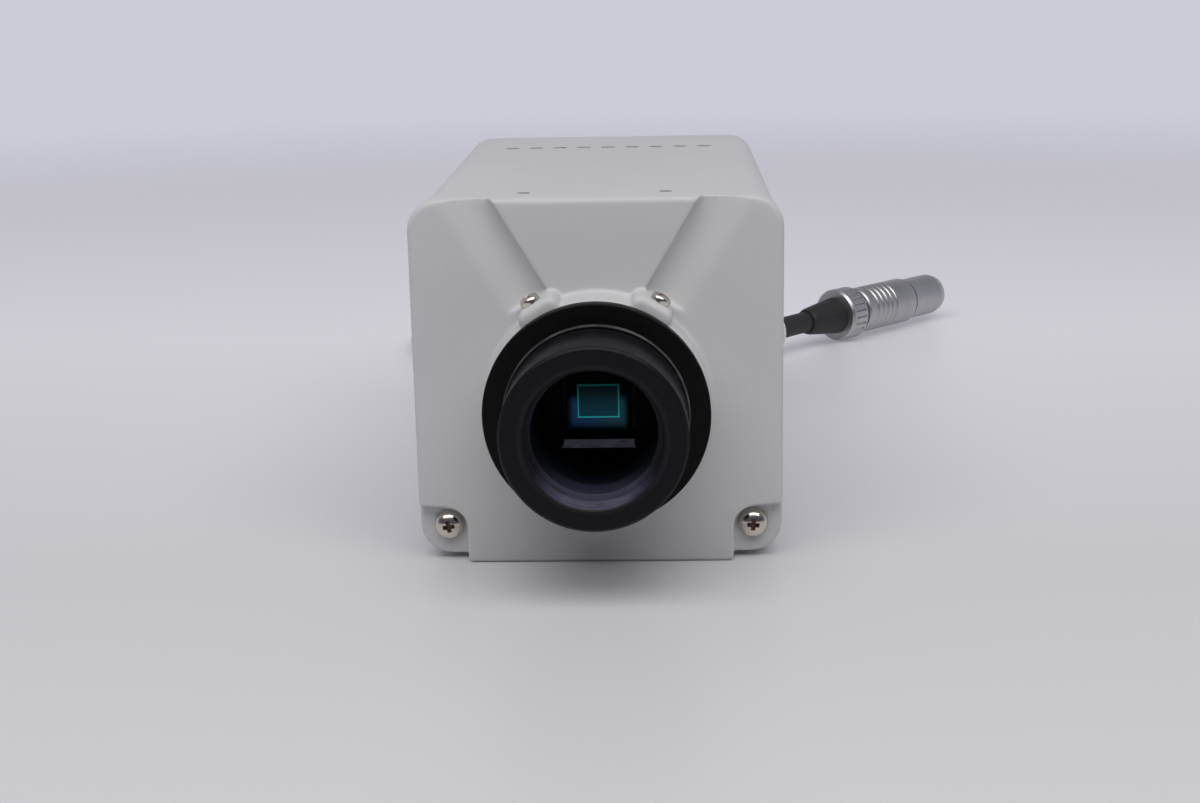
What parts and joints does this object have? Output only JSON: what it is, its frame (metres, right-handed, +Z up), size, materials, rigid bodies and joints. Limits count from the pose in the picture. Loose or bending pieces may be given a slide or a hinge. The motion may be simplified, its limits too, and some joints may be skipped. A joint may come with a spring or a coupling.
{
  "type": "cooled astronomy camera",
  "caption": "Box-shaped cooled astronomy camera head with a C-mount nose, back-focus ring, fan-cooled rear, tripod socket and a short lead ending in a round plug.",
  "frame": {"origin": "mouth of the tripod socket, on the underside of the base", "axes": "+X to the right seen from the front, +Y from the lens nose towards the rear panel, +Z up"},
  "size_m": [0.1625, 0.2619, 0.0706],
  "materials": {
    "grey_paint": "fine-textured satin paint",
    "black_anodised": "satin black anodised",
    "nickel": "bright nickel plate",
    "steel_bush": "turned steel",
    "seal_rubber": "matt",
    "window_glass": "polished, coated",
    "sensor_glass": "polished, teal anti-reflection coating",
    "silicon": "polished silicon",
    "ceramic": "sintered alumina",
    "gold_pin": "gold plated",
    "board": "green solder mask",
    "copper": "machined copper",
    "foam": "closed-cell foam",
    "pellet": "dull",
    "fin_aluminium": "extruded",
    "chip_plastic": "moulded epoxy",
    "capacitor": "drawn can",
    "flex_film": "polyimide film",
    "fan_plastic": "moulded",
    "guard_wire": "bright plated wire",
    "lamp": "tinted lens",
    "gland_plastic": "moulded nylon",
    "cable_rubber": "matt",
    "plug_metal": "satin chrome plate"
  },
  "bodies": {
    "root": {"front_casting": "grey_paint", "top_cover": "grey_paint", "base_plate": "grey_paint", "rear_panel": "grey_paint", "sensor_housing": "black_anodised", "window_retainer": "black_anodised", "front_screws": "nickel", "cover_screws": "nickel", "base_screws": "nickel", "heat_sink_screws": "nickel", "housing_screws": "nickel", "fan_screws": "nickel", "nose_dowel": "nickel", "sensor_board_posts": "nickel", "board_pillars": "nickel", "tripod_bush": "steel_bush", "fan_bush": "steel_bush", "window_seal": "seal_rubber", "housing_gasket": "seal_rubber", "chamber_window": "window_glass", "sensor_glass": "sensor_glass", "sensor_die": "silicon", "sensor_package": "ceramic", "peltier_cold_plate": "ceramic", "peltier_hot_plate": "ceramic", "sensor_pins": "gold_pin", "plug_pins": "gold_pin", "sensor_board": "board", "main_board": "board", "cold_finger": "copper", "fan_stator": "copper", "foam_jacket": "foam", "peltier_pellets": "pellet", "heat_sink": "fin_aluminium", "board_chips": "chip_plastic", "switch_body": "chip_plastic", "board_capacitors": "capacitor", "sensor_flex": "flex_film", "fan_frame": "fan_plastic", "fan_guard": "guard_wire", "status_lamp": "lamp", "cable_gland": "gland_plastic", "gland_nut": "gland_plastic", "plug_insert": "gland_plastic", "strain_relief": "cable_rubber", "inner_lead": "cable_rubber", "pigtail": "cable_rubber", "plug_boot": "cable_rubber", "plug_clamp": "plug_metal", "plug_shell": "plug_metal"},
    "focus_ring": {"focus_ring": "black_anodised"},
    "nose": {"nose_tube": "black_anodised"},
    "lock_screw_left": {"lock_screw_left": "nickel"},
    "lock_screw_right": {"lock_screw_right": "nickel"},
    "fan_rotor": {"fan_rotor": "fan_plastic", "fan_shaft": "steel_bush"},
    "switch_knob": {"switch_knob": "fan_plastic"},
    "plug_sleeve": {"plug_sleeve": "plug_metal"}
  },
  "joints": [
    {"name": "back_focus_turn", "type": "hinge", "parent": "root", "child": "focus_ring", "pos_m": [0, -0.054, 0.0317], "axis": [0, -1, 0], "range_deg": [-180, 180]},
    {"name": "nose_travel", "type": "slide", "parent": "root", "child": "nose", "axis": [0, -1, 0], "range_m": [-0.0005, 0.0005]},
    {"name": "lock_screw_left_turn", "type": "hinge", "parent": "root", "child": "lock_screw_left", "pos_m": [-0.01183, -0.049, 0.05178], "axis": [-0.5075, 0, 0.8616], "range_deg": [0, 360]},
    {"name": "lock_screw_right_turn", "type": "hinge", "parent": "root", "child": "lock_screw_right", "pos_m": [0.01183, -0.049, 0.05178], "axis": [0.5075, 0, 0.8616], "range_deg": [0, 360]},
    {"name": "fan_spin", "type": "hinge", "parent": "root", "child": "fan_rotor", "pos_m": [0, 0.062, 0.045], "axis": [0, 1, 0], "continuous": true},
    {"name": "cooler_switch_slide", "type": "slide", "parent": "root", "child": "switch_knob", "axis": [1, 0, 0], "range_m": [0, 0.003]},
    {"name": "plug_release", "type": "slide", "parent": "root", "child": "plug_sleeve", "axis": [-0.7071, -0.7071, 0], "range_m": [0, 0.0015], "stiffness_N_per_m": 400}
  ],
  "couplings": [
    {"joint": "nose_travel", "follows": "back_focus_turn", "m_per_rad": 0.00015915}
  ]
}
